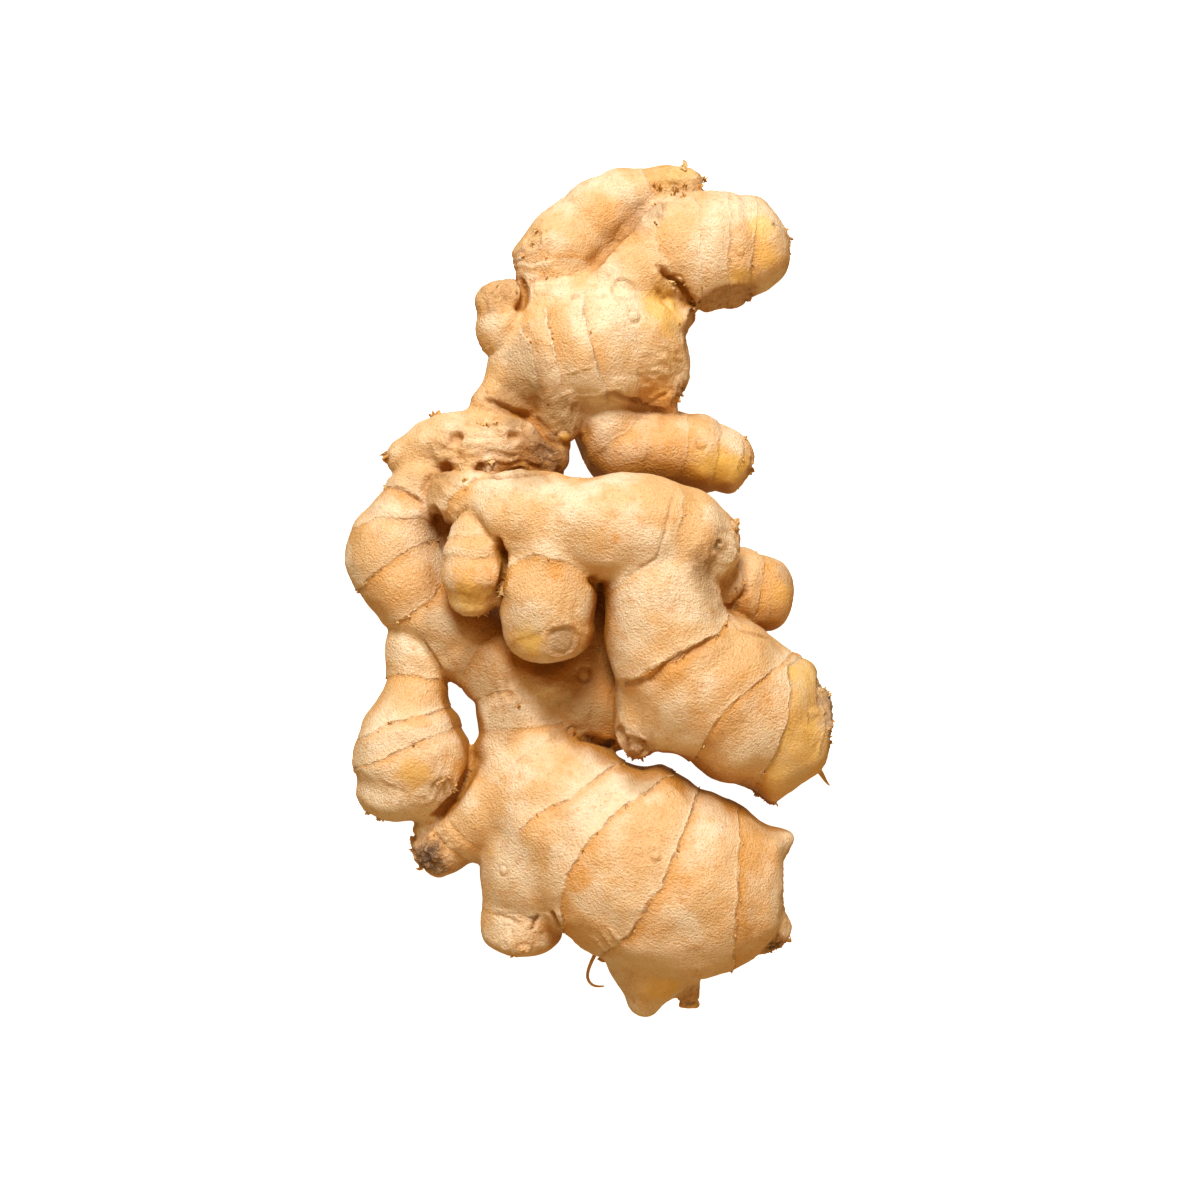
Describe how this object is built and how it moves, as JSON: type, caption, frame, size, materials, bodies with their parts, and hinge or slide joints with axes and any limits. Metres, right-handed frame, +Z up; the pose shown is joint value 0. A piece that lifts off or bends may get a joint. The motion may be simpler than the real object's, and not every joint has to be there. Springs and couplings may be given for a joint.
{
  "type": "ginger root",
  "caption": "Whole fresh ginger rhizome: a knotted, branching hand of short plump fingers, buds and broken stubs in thin tan skin, lying flat.",
  "frame": {"origin": "on the table, under the middle of the root's box", "axes": "+Z up; +Y along the root's length, from the large lower hand to the slim crown fingers; +X to the side where the hands' finger tips point"},
  "size_m": [0.103, 0.18, 0.0406],
  "materials": {
    "ginger_skin": "matt, thin dry cork skin over firm yellow flesh"
  },
  "bodies": {
    "root": {"ginger_root": "ginger_skin"}
  },
  "joints": []
}
